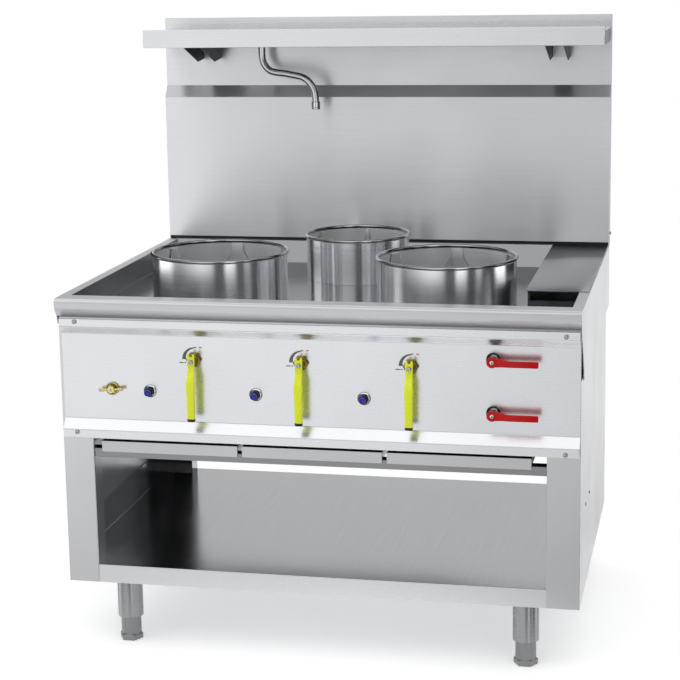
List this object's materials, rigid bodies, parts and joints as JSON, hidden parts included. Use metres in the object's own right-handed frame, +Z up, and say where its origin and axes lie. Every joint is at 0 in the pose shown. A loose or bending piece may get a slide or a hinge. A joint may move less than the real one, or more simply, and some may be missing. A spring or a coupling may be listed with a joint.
{
  "type": "wok range",
  "caption": "Free-standing stainless wok range: sunk worktop, lift-off wok rings, lever gas and water controls, drip trays, open base, backsplash with shelf and swivel spout.",
  "frame": {"origin": "on the floor, in the middle of the whole range from the lever grips to the back of the backsplash", "axes": "+X to the cook's right, +Y to the back, +Z up"},
  "size_m": [1.2, 0.9518, 1.437],
  "materials": {
    "brushed_steel": "brushed",
    "polished_steel": "polished",
    "cast_iron": "as cast",
    "brass": "satin",
    "chrome": "polished",
    "yellow_sleeve": "satin",
    "red_sleeve": "gloss",
    "blue_button": "gloss"
  },
  "bodies": {
    "range": {"side_panel_left": "brushed_steel", "side_panel_right": "brushed_steel", "cabinet_floor": "brushed_steel", "rear_panel": "brushed_steel", "leg_front_left": "brushed_steel", "leg_front_right": "brushed_steel", "leg_rear_left": "brushed_steel", "leg_rear_right": "brushed_steel", "worktop": "brushed_steel", "gutter_box": "brushed_steel", "drain_pipe": "brushed_steel", "fire_chamber_left": "cast_iron", "fire_chamber_rear": "cast_iron", "fire_chamber_right": "cast_iron", "burner_left": "cast_iron", "burner_rear": "cast_iron", "burner_right": "cast_iron", "control_panel": "brushed_steel", "gas_valve_left": "brass", "gas_valve_rear": "brass", "gas_valve_right": "brass", "igniter_left": "chrome", "igniter_rear": "chrome", "igniter_right": "chrome", "water_valve_upper": "chrome", "water_valve_lower": "chrome", "pilot_tap": "brass", "gas_manifold": "cast_iron", "water_supply_pipe": "polished_steel", "riser_pipe": "chrome", "tray_rail": "brushed_steel", "backsplash": "brushed_steel", "shelf": "brushed_steel", "shelf_bracket_left": "brushed_steel", "shelf_bracket_right": "brushed_steel"},
    "foot_front_left": {"foot_front_left": "brushed_steel"},
    "foot_front_right": {"foot_front_right": "brushed_steel"},
    "foot_rear_left": {"foot_rear_left": "brushed_steel"},
    "foot_rear_right": {"foot_rear_right": "brushed_steel"},
    "ring_left": {"wok_ring_left": "polished_steel", "ring_liner_left": "polished_steel"},
    "ring_rear": {"wok_ring_rear": "polished_steel", "ring_liner_rear": "polished_steel"},
    "ring_right": {"wok_ring_right": "polished_steel", "ring_liner_right": "polished_steel"},
    "gutter_cover": {"gutter_cover": "brushed_steel"},
    "drain_strainer": {"drain_strainer": "polished_steel"},
    "gas_lever_left": {"gas_lever_left": "yellow_sleeve"},
    "gas_lever_rear": {"gas_lever_rear": "yellow_sleeve"},
    "gas_lever_right": {"gas_lever_right": "yellow_sleeve"},
    "igniter_button_left": {"igniter_button_left": "blue_button"},
    "igniter_button_rear": {"igniter_button_rear": "blue_button"},
    "igniter_button_right": {"igniter_button_right": "blue_button"},
    "water_lever_upper": {"water_lever_upper": "red_sleeve"},
    "water_lever_lower": {"water_lever_lower": "red_sleeve"},
    "pilot_tap_wing": {"pilot_tap_wing": "brass"},
    "drip_tray_left": {"drip_tray_left": "brushed_steel"},
    "drip_tray_middle": {"drip_tray_middle": "brushed_steel"},
    "drip_tray_right": {"drip_tray_right": "brushed_steel"},
    "spout": {"spout": "chrome"}
  },
  "joints": [
    {"name": "foot_front_left_height", "type": "slide", "parent": "range", "child": "foot_front_left", "axis": [0, 0, -1], "range_m": [0, 0.04]},
    {"name": "foot_front_right_height", "type": "slide", "parent": "range", "child": "foot_front_right", "axis": [0, 0, -1], "range_m": [0, 0.04]},
    {"name": "foot_rear_left_height", "type": "slide", "parent": "range", "child": "foot_rear_left", "axis": [0, 0, -1], "range_m": [0, 0.04]},
    {"name": "foot_rear_right_height", "type": "slide", "parent": "range", "child": "foot_rear_right", "axis": [0, 0, -1], "range_m": [0, 0.04]},
    {"name": "ring_left_lift", "type": "slide", "parent": "range", "child": "ring_left", "axis": [0, 0, 1], "range_m": [0, 0.15]},
    {"name": "ring_rear_lift", "type": "slide", "parent": "range", "child": "ring_rear", "axis": [0, 0, 1], "range_m": [0, 0.15]},
    {"name": "ring_right_lift", "type": "slide", "parent": "range", "child": "ring_right", "axis": [0, 0, 1], "range_m": [0, 0.15]},
    {"name": "gutter_cover_lift", "type": "slide", "parent": "range", "child": "gutter_cover", "axis": [0, 0, 1], "range_m": [0, 0.1]},
    {"name": "drain_strainer_lift", "type": "slide", "parent": "range", "child": "drain_strainer", "axis": [0, 0, 1], "range_m": [0, 0.045]},
    {"name": "gas_lever_left_turn", "type": "hinge", "parent": "range", "child": "gas_lever_left", "pos_m": [-0.275, -0.4581, 0.7025], "axis": [0, -1, 0], "range_deg": [0, 90]},
    {"name": "gas_lever_rear_turn", "type": "hinge", "parent": "range", "child": "gas_lever_rear", "pos_m": [-0.0255, -0.4581, 0.7025], "axis": [0, -1, 0], "range_deg": [0, 90]},
    {"name": "gas_lever_right_turn", "type": "hinge", "parent": "range", "child": "gas_lever_right", "pos_m": [0.224, -0.4581, 0.7025], "axis": [0, -1, 0], "range_deg": [0, 90]},
    {"name": "igniter_button_left_press", "type": "slide", "parent": "range", "child": "igniter_button_left", "axis": [0, 1, 0], "range_m": [0, 0.005], "stiffness_N_per_m": 400, "springref_m": -0.002},
    {"name": "igniter_button_rear_press", "type": "slide", "parent": "range", "child": "igniter_button_rear", "axis": [0, 1, 0], "range_m": [0, 0.005], "stiffness_N_per_m": 400, "springref_m": -0.002},
    {"name": "igniter_button_right_press", "type": "slide", "parent": "range", "child": "igniter_button_right", "axis": [0, 1, 0], "range_m": [0, 0.005], "stiffness_N_per_m": 400, "springref_m": -0.002},
    {"name": "water_lever_upper_turn", "type": "hinge", "parent": "range", "child": "water_lever_upper", "pos_m": [0.407, -0.4581, 0.723], "axis": [0, 1, 0], "range_deg": [0, 90]},
    {"name": "water_lever_lower_turn", "type": "hinge", "parent": "range", "child": "water_lever_lower", "pos_m": [0.407, -0.4581, 0.603], "axis": [0, 1, 0], "range_deg": [0, 90]},
    {"name": "pilot_tap_wing_turn", "type": "hinge", "parent": "range", "child": "pilot_tap_wing", "pos_m": [-0.472, -0.4434, 0.6283], "axis": [0, -1, 0], "range_deg": [0, 90]},
    {"name": "drip_tray_left_pull", "type": "slide", "parent": "range", "child": "drip_tray_left", "axis": [0, -1, 0], "range_m": [0, 0.6]},
    {"name": "drip_tray_middle_pull", "type": "slide", "parent": "range", "child": "drip_tray_middle", "axis": [0, -1, 0], "range_m": [0, 0.6]},
    {"name": "drip_tray_right_pull", "type": "slide", "parent": "range", "child": "drip_tray_right", "axis": [0, -1, 0], "range_m": [0, 0.6]},
    {"name": "spout_swivel", "type": "hinge", "parent": "range", "child": "spout", "pos_m": [-0.316, 0.4009, 1.382], "axis": [0, 0, 1], "range_deg": [-150, 20]}
  ]
}
